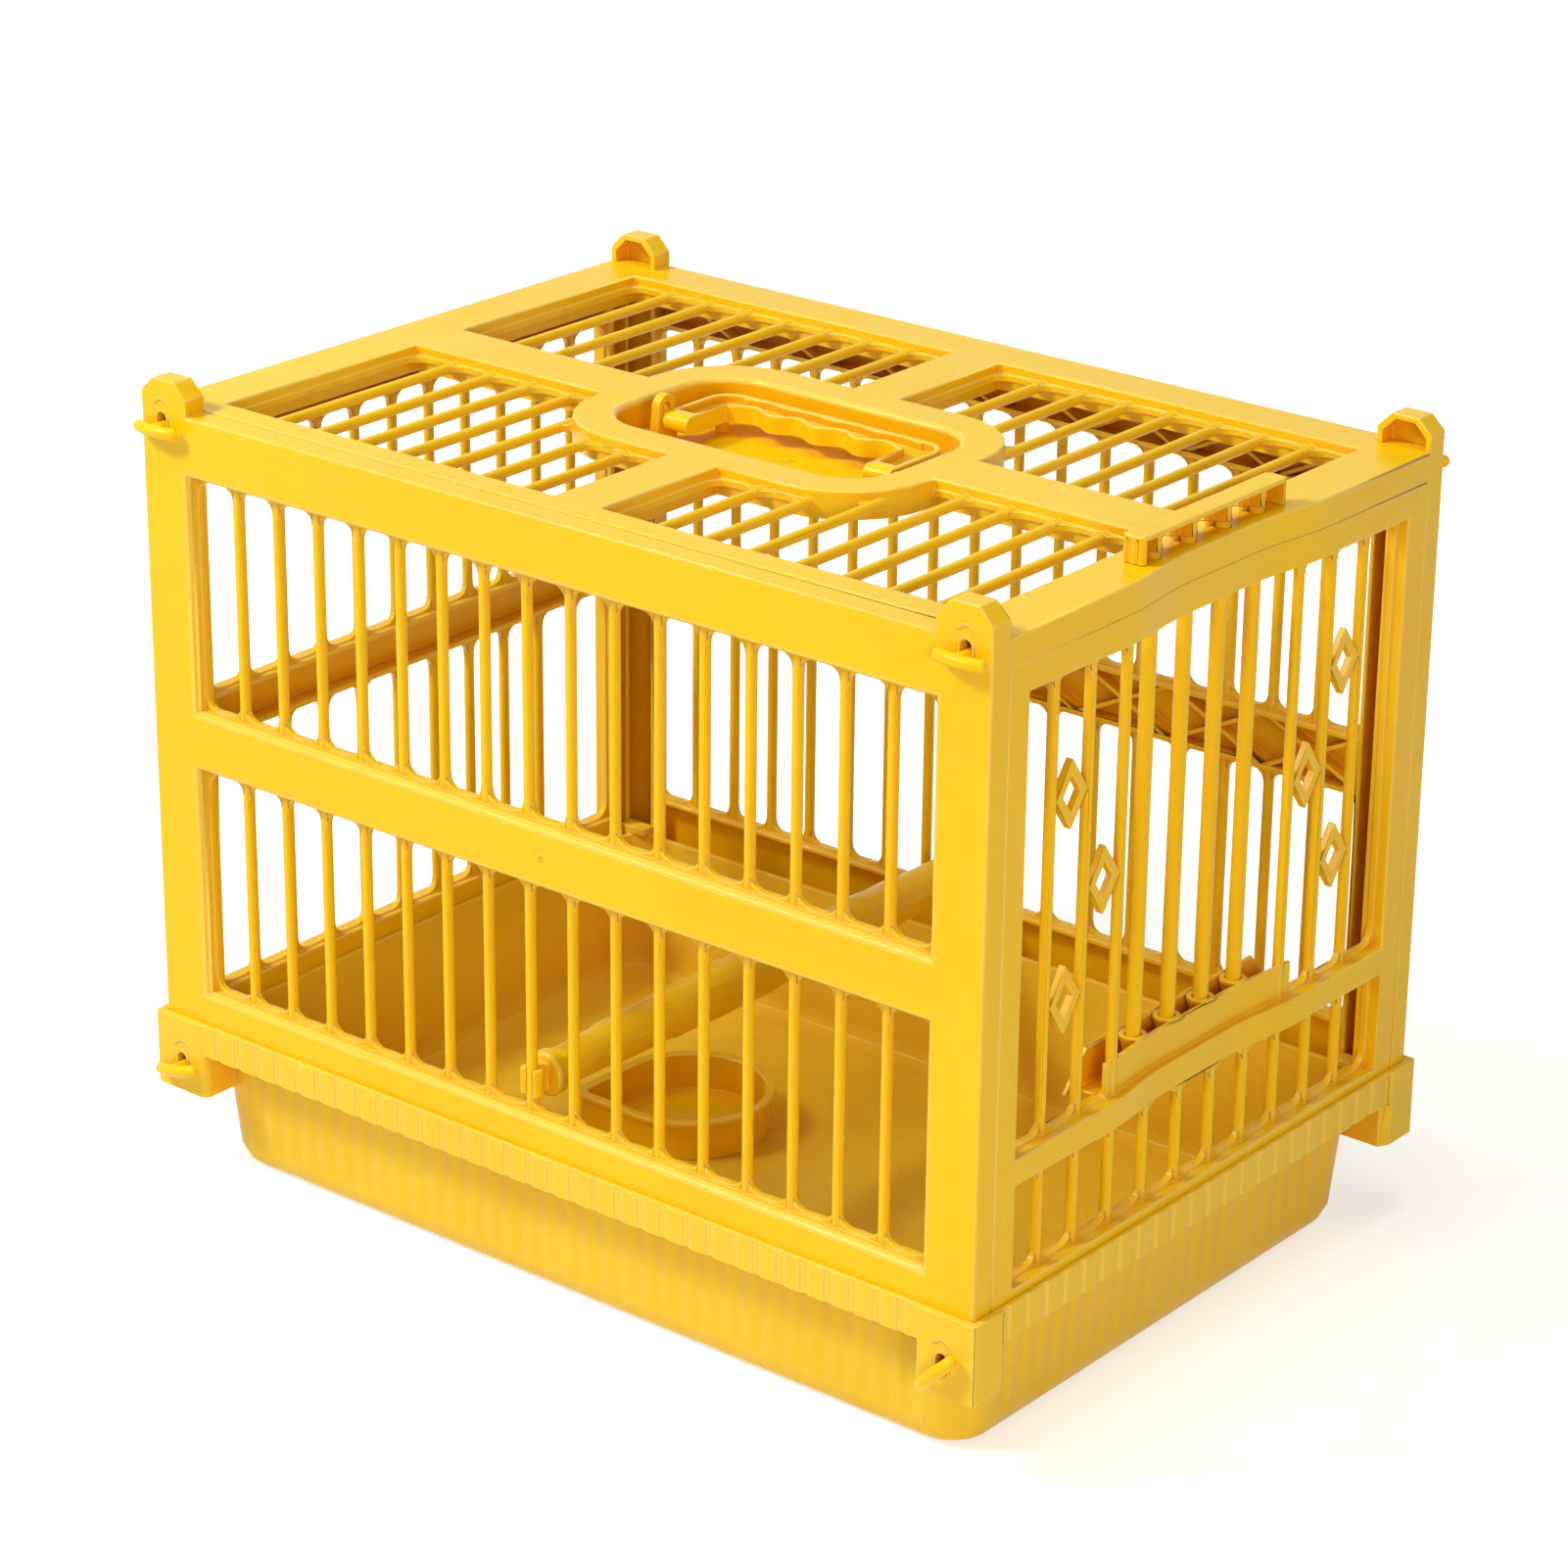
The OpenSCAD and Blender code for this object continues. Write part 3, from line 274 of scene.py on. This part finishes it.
def gate_marks(node, links, place):
    """Normals of the small dishes, each with its pip, where the plastic came in."""
    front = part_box("front_panel")[0][1]
    middle_rail = 177 * MM
    well_floor = 289 * MM
    spots = ((0, front, middle_rail), (0, -front, middle_rail),
             (2.5 * MM, -1 * MM, well_floor))
    nearest = None
    for row, spot in enumerate(spots):
        away = node("ShaderNodeVectorMath", -900, -1100 - 160 * row, operation="DISTANCE")
        away.inputs[1].default_value = spot
        links.new(place.outputs["Object"], away.inputs[0])
        if nearest is None:
            nearest = away.outputs["Value"]
            continue
        least = node("ShaderNodeMath", -700, -1100 - 160 * row, operation="MINIMUM")
        links.new(nearest, least.inputs[0])
        links.new(away.outputs["Value"], least.inputs[1])
        nearest = least.outputs["Value"]
    reach = node("ShaderNodeMapRange", -500, -1150)
    reach.inputs["From Max"].default_value = 5 * MM
    links.new(nearest, reach.inputs["Value"])
    # from the pip in the middle out over the dish and its ring to the flat wall
    shape = node("ShaderNodeValToRGB", -300, -1150)
    ramp = shape.color_ramp
    ramp.interpolation = "B_SPLINE"
    for stop, high in ((0.0, 0.0), (0.10, 0.05), (0.18, 0.95), (0.28, 0.35),
                       (0.52, 0.30), (0.74, 0.66), (1.0, 0.6)):
        if stop in (0.0, 1.0):
            step = ramp.elements[0 if stop == 0.0 else len(ramp.elements) - 1]
        else:
            step = ramp.elements.new(stop)
        step.color = (high, high, high, 1)
    links.new(reach.outputs["Result"], shape.inputs["Fac"])
    bump = node("ShaderNodeBump", 0, -1000)
    bump.inputs["Strength"].default_value = 1.0
    bump.inputs["Distance"].default_value = 1.2 * MM
    links.new(shape.outputs["Color"], bump.inputs["Height"])
    return bump.outputs["Normal"]


def plain_material(name, colour, roughness):
    """One even colour, for the studio."""
    material = bpy.data.materials.new(name)
    material.use_nodes = True
    shader = material.node_tree.nodes["Principled BSDF"]
    shader.inputs["Base Color"].default_value = (*colour, 1)
    shader.inputs["Roughness"].default_value = roughness
    return material


def cage_plastic():
    """The plastic of all the pieces but the tray, made once."""
    colours = bpy.context.scene.carrier_colours
    return bpy.data.materials.get("cage_plastic") or moulded_plastic(
        "cage_plastic", tuple(colours.cage), tuple(colours.cage_deep))


def branch_plastic():
    """Cage plastic with the fine lengthways grain of the moulded branch."""
    material = cage_plastic().copy()
    material.name = "branch_plastic"
    nodes, links = material.node_tree.nodes, material.node_tree.links
    place = next(node for node in nodes if node.type == "TEX_COORD")
    stretch = nodes.new("ShaderNodeMapping")
    stretch.inputs["Scale"].default_value = (1.0, 0.16, 1.0)
    links.new(place.outputs["Object"], stretch.inputs["Vector"])
    grain = nodes.new("ShaderNodeTexNoise")
    grain.inputs["Scale"].default_value = 700.0
    grain.inputs["Detail"].default_value = 4.0
    links.new(stretch.outputs["Vector"], grain.inputs["Vector"])
    bump = nodes.new("ShaderNodeBump")
    bump.inputs["Strength"].default_value = 0.7
    bump.inputs["Distance"].default_value = 0.3 * MM
    links.new(grain.outputs["Fac"], bump.inputs["Height"])
    last = next(node for node in nodes if node.type == "BUMP" and not
                node.inputs["Normal"].is_linked and node != bump)
    links.new(bump.outputs["Normal"], last.inputs["Normal"])
    return material


def tray_plastic():
    """The tray's own plastic, made once."""
    colours = bpy.context.scene.carrier_colours
    return bpy.data.materials.get("tray_plastic") or moulded_plastic(
        "tray_plastic", tuple(colours.tray), tuple(colours.tray_deep), tray=True)


# ---- mouldings ----


def body_of(name):
    """The body that a CAD node rides on."""
    bodies = frame["record"]["behaviour"]["bodies"]
    return next(body for body, members in bodies.items() if name in members)


def place_piece(name, made, material, body, stands_for=(), even=True):
    """Turns a bmesh into a finished piece that rides on a body, evenly shaded if asked."""
    mesh = bpy.data.meshes.new(name)
    made.to_mesh(mesh)
    made.free()
    mesh.materials.append(material)
    mesh.polygons.foreach_set("use_smooth", [True] * len(mesh.polygons))
    piece = bpy.data.objects.new(name, mesh)
    bpy.context.scene.collection.objects.link(piece)
    if even:
        weights = piece.modifiers.new("even shading", "WEIGHTED_NORMAL")
        weights.keep_sharp = True
        weights.use_face_influence = True
        weights.mode = "FACE_AREA_WITH_ANGLE"
    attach(piece, body)
    if stands_for:
        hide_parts(*stands_for)
    return piece


def skin_of(name):
    """A CAD node as one closed skin, its few slivers folded on a neighbour joined to it."""
    made = bmesh.new()
    made.from_mesh(frame["nodes"][name].data)
    bmesh.ops.remove_doubles(made, verts=made.verts, dist=SAME_POINT)
    folded = [edge for edge in made.edges if len(edge.link_faces) == 2
              and edge.calc_face_angle(0) > FOLDED]
    bmesh.ops.dissolve_edges(made, edges=folded, use_verts=False)
    bmesh.ops.triangulate(made, faces=[face for face in made.faces if len(face.verts) > 3])
    return made


def round_edges(made, radius, segments, picked=None):
    """Rounds the sharp edges, or the picked ones, and marks the new faces."""
    whole, real = made.faces.layers.int, made.faces.layers.float
    done = whole.get("done") or whole.new("done")
    tone = real.get("rounded") or real.new("rounded")
    pull = whole.get(NORMAL_PULL) or whole.new(NORMAL_PULL)
    edges = [edge for edge in made.edges
             if len(edge.link_faces) == 2
             and edge.calc_face_angle(0) > SHARP
             and not any(face[done] for face in edge.link_faces)
             and (picked is None or picked(edge))]
    skin = BVHTree.FromBMesh(made)
    result = bmesh.ops.bevel(made, geom=edges, offset=radius, offset_type="OFFSET",
                             segments=segments, profile=0.5, affect="EDGES",
                             clamp_overlap=False, material=-1)
    for face in result["faces"]:
        face[done] = 1
        # this mark is what the material paints as a paler highlight on rounded edges, and makes
        # glossier
        face[tone] = 1.0
        face[pull] = WEAK
    # where edges meet at a sharp corner, a new point can shoot past the old skin
    for vert in {vert for face in result["faces"] for vert in face.verts}:
        near, _, _, gap = skin.find_nearest(vert.co)
        if gap > radius:
            vert.co = near


def convex(edge):
    return edge.calc_face_angle_signed(0) > 0


def long_edge(edge, least):
    return edge.calc_length() > least


def level_edge(edge, height):
    return all(abs(vert.co.z - height) < LEVEL_REACH for vert in edge.verts)


def moulding(name, material, rounds=()):
    """Replaces a CAD node by its finished skin."""
    finish = bpy.context.scene.carrier_finish
    made = skin_of(name)
    for radius, segments, picked in rounds:
        round_edges(made, radius, segments, picked)
    round_edges(made, finish.edge_round, 2)
    return place_piece(name + "_finished", made, material, body_of(name), (name,))


def cut_across(made, faces, way, place):
    """Cuts the faces by one plane and returns what they became."""
    parts = set(faces)
    for face in faces:
        parts.update(face.edges)
        parts.update(face.verts)
    cut = bmesh.ops.bisect_plane(made, geom=list(parts), dist=SAME_POINT / 2, plane_no=way,
                                 plane_co=[place * c for c in way])
    return [part for part in cut["geom"] if isinstance(part, bmesh.types.BMFace)]


def outer_wall(made, axis, side):
    """The two halves of one outer wall of the tub, between its foot and the rim band."""
    foot, band = 11 * MM, 52 * MM
    smallest = 500 * MM * MM
    wall = [face for face in made.faces
            if face.normal[axis] * side > 0.99 and face.calc_area() > smallest
            and min(vert.co.z for vert in face.verts) < foot
            and max(vert.co.z for vert in face.verts) < band
            and face.calc_center_median()[axis] * side > 0]
    if len(wall) != 2:
        raise RuntimeError(f"{len(wall)} faces in one outer wall of the tub, not 2")
    return wall


def flute_wall(made, axis, side):
    """Presses shallow upright flutes into one outer wall of the tub."""
    finish = bpy.context.scene.carrier_finish
    border, end_gap, foot_gap, top_gap = 1.2 * MM, 0.5 * MM, 4 * MM, 0.8 * MM
    cuts = 6
    reach_past = 0.01 * MM
    wall = [bmesh.utils.face_join(outer_wall(made, axis, side))]
    bmesh.ops.inset_region(made, faces=wall, thickness=border, use_even_offset=True)
    out = wall[0].normal.copy()
    along = 1 - axis
    reach = min(abs(vert.co[along]) for vert in wall[0].verts) - end_gap
    low = min(vert.co.z for vert in wall[0].verts) + foot_gap
    high = max(vert.co.z for vert in wall[0].verts) - top_gap
    count = round(2 * reach / finish.flute_pitch)
    pitch = 2 * reach / count
    across = [1.0 - along, float(along), 0.0]
    for step in range(cuts * count + 1):
        wall = cut_across(made, wall, across, -reach + step * pitch / cuts)
    wall = cut_across(made, wall, (0.0, 0.0, 1.0), low)
    wall = cut_across(made, wall, (0.0, 0.0, 1.0), high)
    for vert in {vert for face in wall for vert in face.verts}:
        place = vert.co[along]
        if low - reach_past < vert.co.z < high + reach_past and abs(place) < reach:
            wave = 0.5 - 0.5 * math.cos(2 * math.pi * (place + reach) / pitch)
            vert.co -= out * (wave * finish.flute_depth)


# ---- operators ----


class CARRIER_OT_panels(bpy.types.Operator):
    """Finish the four wall panels"""

    bl_idname = "carrier.panels"
    bl_label = "Wall panels"

    def execute(self, context):
        finish = context.scene.carrier_finish
        top = lid_top()

        def outer_rail(edge):
            return convex(edge) and long_edge(edge, 40 * MM)

        def ear(edge):
            return convex(edge) and long_edge(edge, 5 * MM) and all(
                vert.co.z > top + 1 * MM for vert in edge.verts)

        for name in ("front_panel", "back_panel", "left_panel", "right_panel"):
            moulding(name, cage_plastic(), [(finish.rail_round, 3, outer_rail),
                                            (finish.ear_round, 3, ear)])
        return {"FINISHED"}


class CARRIER_OT_lid(bpy.types.Operator):
    """Finish the lid, with a soft mouth round the handle well"""

    bl_idname = "carrier.lid"
    bl_label = "Lid"

    def execute(self, context):
        finish = context.scene.carrier_finish
        top = lid_top()
        well_x, well_y = 61 * MM, 36 * MM

        def on_top(edge):
            return level_edge(edge, top)

        def well_mouth(edge):
            return on_top(edge) and all(
                abs(vert.co.x) < well_x and abs(vert.co.y) < well_y for vert in edge.verts)

        moulding("lid", cage_plastic(), [(finish.well_round, 4, well_mouth),
                                         (finish.rail_round, 3, on_top)])
        return {"FINISHED"}


class CARRIER_OT_door(bpy.types.Operator):
    """Finish the comb door"""

    bl_idname = "carrier.door"
    bl_label = "Comb door"

    def execute(self, context):
        finish = context.scene.carrier_finish
        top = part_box("lift_door")[1][2]

        def plate(edge):
            return level_edge(edge, top)

        moulding("lift_door", cage_plastic(), [(finish.plate_round, 3, plate)])
        return {"FINISHED"}


class CARRIER_OT_fittings(bpy.types.Operator):
    """Finish the carry handle, the lock pins, the perch and the bowl"""

    bl_idname = "carrier.fittings"
    bl_label = "Handle, pins and fittings"

    def execute(self, context):
        finish = context.scene.carrier_finish
        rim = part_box("food_bowl")[1][2]
        low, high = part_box("carry_handle")

        def on_rim(edge):
            return level_edge(edge, rim)

        def flange(edge):
            return convex(edge) and (level_edge(edge, high[2]) or level_edge(edge, low[2]))

        moulding("food_bowl", cage_plastic(), [(finish.rim_round, 3, on_rim)])
        moulding("carry_handle", cage_plastic(), [(finish.plate_round, 3, flange)])
        for name in ("perch_clip_front", "perch_clip_back"):
            moulding(name, cage_plastic())
        for name in PINS:
            pin = place_piece(name + "_finished", skin_of(name), cage_plastic(),
                              body_of(name), (name,), even=False)
            skin = pin.modifiers.new("one skin", "REMESH")
            skin.mode = "VOXEL"
            skin.voxel_size = finish.pin_grain
            skin.use_smooth_shade = True
            relax = pin.modifiers.new("soft edges", "SMOOTH")
            relax.factor = 0.5
            relax.iterations = 4
        return {"FINISHED"}


class CARRIER_OT_perch(bpy.types.Operator):
    """Model the perch as a moulded branch with rings and knots"""

    bl_idname = "carrier.perch"
    bl_label = "Perch"

    def execute(self, context):
        low, high = (Vector(corner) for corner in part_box("perch"))
        middle = (low + high) / 2
        half = (high.y - low.y) / 2
        swell_room, knot_width = 0.3 * MM, 5 * MM
        radius = (high.x - low.x) / 2 - swell_room
        # shares of the half length, and of the radius there
        outline = [(-1.0, 0.0), (-1.0, 0.68), (-0.985, 0.74), (-0.80, 0.77), (-0.785, 0.745),
                   (-0.76, 0.84), (-0.70, 0.83), (-0.50, 0.87), (-0.485, 0.845),
                   (-0.46, 0.95), (-0.38, 0.94), (0.00, 1.0), (0.02, 0.965), (0.05, 0.93),
                   (0.44, 0.90), (0.455, 0.875), (0.48, 0.95), (0.56, 0.93), (0.985, 0.80),
                   (1.0, 0.74), (1.0, 0.0)]
        made = bmesh.new()
        points = [made.verts.new((share * radius, along * half, 0))
                  for along, share in outline]
        line = [made.edges.new(pair) for pair in zip(points, points[1:])]
        long_ones = [edge for edge in line if long_edge(edge, 8 * MM)]
        bmesh.ops.subdivide_edges(made, edges=long_ones, cuts=11)
        bmesh.ops.spin(made, geom=made.verts[:] + made.edges[:], cent=(0, 0, 0),
                       axis=(0, 1, 0), angle=2 * math.pi, steps=56, use_merge=True)
        bmesh.ops.remove_doubles(made, verts=made.verts, dist=SAME_POINT / 2)
        bmesh.ops.recalc_face_normals(made, faces=made.faces)
        # share of the half length, angle round the branch, height in mm
        knots = [(-0.62, 1.2, 0.9), (-0.20, 2.3, 1.2), (0.26, 0.9, 1.0), (0.70, 1.9, 1.1),
                 (-0.31, 5.0, 0.9), (0.10, 4.1, 0.8)]
        for vert in made.verts:
            out = Vector((vert.co.x, 0, vert.co.z))
            if out.length < 0.5 * radius:
                continue
            angle = math.atan2(out.z, out.x)
            along = vert.co.y / half
            grain = noise.fractal((math.cos(angle) * 4, along * 5, math.sin(angle) * 4),
                                  1.0, 2.0, 4)
            swell = noise.noise((math.cos(angle), along * 7 + 3, math.sin(angle)))
            grow = 0.20 * MM * grain + 0.30 * MM * swell
            for place, turn, height in knots:
                apart = math.hypot((along - place) * half / knot_width,
                                   math.sin((angle - turn) / 2) * 2.4)
                grow += height * MM * 0.55 * math.exp(-apart * apart)
            vert.co += out.normalized() * min(grow, swell_room)
        bmesh.ops.translate(made, verts=made.verts, vec=middle)
        place_piece("perch_branch", made, branch_plastic(), body_of("perch"), ("perch",))
        return {"FINISHED"}


class CARRIER_OT_tray(bpy.types.Operator):
    """Finish the tray"""

    bl_idname = "carrier.tray"
    bl_label = "Tray"

    def execute(self, context):
        made = skin_of("base_tray")
        for axis, side in ((0, -1), (0, 1), (1, -1), (1, 1)):
            flute_wall(made, axis, side)
        round_edges(made, context.scene.carrier_finish.edge_round, 2)
        place_piece("base_tray_finished", made, tray_plastic(), body_of("base_tray"),
                    ("base_tray",))
        return {"FINISHED"}


class CARRIER_OT_stage(bpy.types.Operator):
    """Set up the floor, the lamps, the world and the camera"""

    bl_idname = "carrier.stage"
    bl_label = "Studio"

    def lamp(self, name, place, size, power, colour):
        data = bpy.data.lights.new(name, "AREA")
        data.shape = "RECTANGLE"
        data.size = data.size_y = size
        data.energy = power
        data.color = colour
        lamp = bpy.data.objects.new(name, data)
        lamp.location = place
        way = Vector(LAMP_AIM) - Vector(place)
        lamp.rotation_euler = way.to_track_quat("-Z", "Y").to_euler()
        bpy.context.scene.collection.objects.link(lamp)

    def shown_rays(self, nodes, links):
        """One for the rays that show the background: seen, mirrored or let through."""
        rays = nodes.new("ShaderNodeLightPath")
        first = nodes.new("ShaderNodeMath")
        second = nodes.new("ShaderNodeMath")
        first.operation = second.operation = "MAXIMUM"
        links.new(rays.outputs["Is Camera Ray"], first.inputs[0])
        links.new(rays.outputs["Is Glossy Ray"], first.inputs[1])
        links.new(first.outputs["Value"], second.inputs[0])
        links.new(rays.outputs["Is Transmission Ray"], second.inputs[1])
        return second.outputs["Value"]

    def world(self, scene):
        world = bpy.data.worlds.new("studio")
        scene.world = world
        world.use_nodes = True
        nodes, links = world.node_tree.nodes, world.node_tree.links
        nodes.clear()
        out = nodes.new("ShaderNodeOutputWorld")
        seen = nodes.new("ShaderNodeBackground")
        seen.inputs["Color"].default_value = (1, 1, 1, 1)
        seen.inputs["Strength"].default_value = 1.0
        shown = self.shown_rays(nodes, links)
        fill = nodes.new("ShaderNodeBackground")
        fill.inputs["Color"].default_value = (0.97, 0.98, 1.0, 1)
        fill.inputs["Strength"].default_value = 0.13
        mix = nodes.new("ShaderNodeMixShader")
        links.new(shown, mix.inputs["Fac"])
        links.new(fill.outputs["Background"], mix.inputs[1])
        links.new(seen.outputs["Background"], mix.inputs[2])
        links.new(mix.outputs["Shader"], out.inputs["Surface"])

    def floor(self, context):
        disc, shadow_keeps, white_from = 3.0, 0.35, 1.3
        made = bmesh.new()
        bmesh.ops.create_circle(made, cap_ends=True, segments=64, radius=disc)
        mesh = bpy.data.meshes.new("floor")
        made.to_mesh(mesh)
        made.free()
        floor = bpy.data.objects.new("floor", mesh)
        context.scene.collection.objects.link(floor)
        material = plain_material("floor", context.scene.carrier_colours.floor, roughness=0.9)
        nodes, links = material.node_tree.nodes, material.node_tree.links
        shader = nodes["Principled BSDF"]
        out = nodes["Material Output"]
        lift = nodes.new("ShaderNodeEmission")
        lift.inputs["Color"].default_value = (1, 1, 1, 1)
        # the floor is lifted to white far from the carrier, and keeps its shadow near it
        place = nodes.new("ShaderNodeTexCoord")
        far = nodes.new("ShaderNodeVectorMath")
        far.operation = "LENGTH"
        fade = nodes.new("ShaderNodeMapRange")
        fade.interpolation_type = "SMOOTHSTEP"
        fade.inputs["From Min"].default_value = shadow_keeps
        fade.inputs["From Max"].default_value = white_from
        fade.inputs["To Min"].default_value = 0.55
        fade.inputs["To Max"].default_value = 1.0
        links.new(place.outputs["Object"], far.inputs[0])
        links.new(far.outputs["Value"], fade.inputs["Value"])
        links.new(fade.outputs["Result"], lift.inputs["Strength"])
        both = nodes.new("ShaderNodeAddShader")
        mix = nodes.new("ShaderNodeMixShader")
        links.new(shader.outputs["BSDF"], both.inputs[0])
        links.new(lift.outputs["Emission"], both.inputs[1])
        links.new(self.shown_rays(nodes, links), mix.inputs["Fac"])
        links.new(shader.outputs["BSDF"], mix.inputs[1])
        links.new(both.outputs["Shader"], mix.inputs[2])
        links.new(mix.outputs["Shader"], out.inputs["Surface"])
        mesh.materials.append(material)

    def execute(self, context):
        scene = context.scene
        stage = scene.carrier_stage
        self.floor(context)
        self.world(scene)
        self.lamp("key", (-1.10, -1.25, 1.75), 0.5, 38, (0.93, 1.0, 0.95))
        self.lamp("top", (0.1, -0.3, 2.2), 1.2, 17, (0.93, 1.0, 0.95))
        self.lamp("side", (1.75, -1.35, 0.8), 0.8, 21, (1.0, 0.88, 0.66))
        data = bpy.data.cameras.new("camera")
        data.sensor_width = 36.0
        data.lens = stage.lens
        camera = bpy.data.objects.new("camera", data)
        camera.location = stage.camera_place
        camera.rotation_euler = Euler(stage.camera_turn)
        scene.collection.objects.link(camera)
        scene.camera = camera
        scene.view_settings.view_transform = "Standard"
        return {"FINISHED"}


class CARRIER_PT_panel(bpy.types.Panel):
    """Lists the steps of the finish"""

    bl_idname = "CARRIER_PT_panel"
    bl_label = "Bird travel carrier"
    bl_space_type = "VIEW_3D"
    bl_region_type = "UI"
    bl_category = "Carrier"

    def draw(self, context):
        for step in STEPS:
            self.layout.operator(step.bl_idname)


STEPS = (CARRIER_OT_panels, CARRIER_OT_lid, CARRIER_OT_door, CARRIER_OT_fittings,
         CARRIER_OT_perch, CARRIER_OT_tray, CARRIER_OT_stage)
GROUPS = {"carrier_colours": CarrierColours, "carrier_finish": CarrierFinish,
          "carrier_stage": CarrierStage}


def register():
    for group in (*GROUPS.values(), *STEPS, CARRIER_PT_panel):
        bpy.utils.register_class(group)
    for name, group in GROUPS.items():
        setattr(bpy.types.Scene, name, bpy.props.PointerProperty(type=group))


def unregister():
    for name in GROUPS:
        delattr(bpy.types.Scene, name)
    for group in reversed((*GROUPS.values(), *STEPS, CARRIER_PT_panel)):
        bpy.utils.unregister_class(group)


def main():
    register()
    for step in STEPS:
        area, action = step.bl_idname.split(".")
        getattr(getattr(bpy.ops, area), action)()


if __name__ == "__main__":
    main()
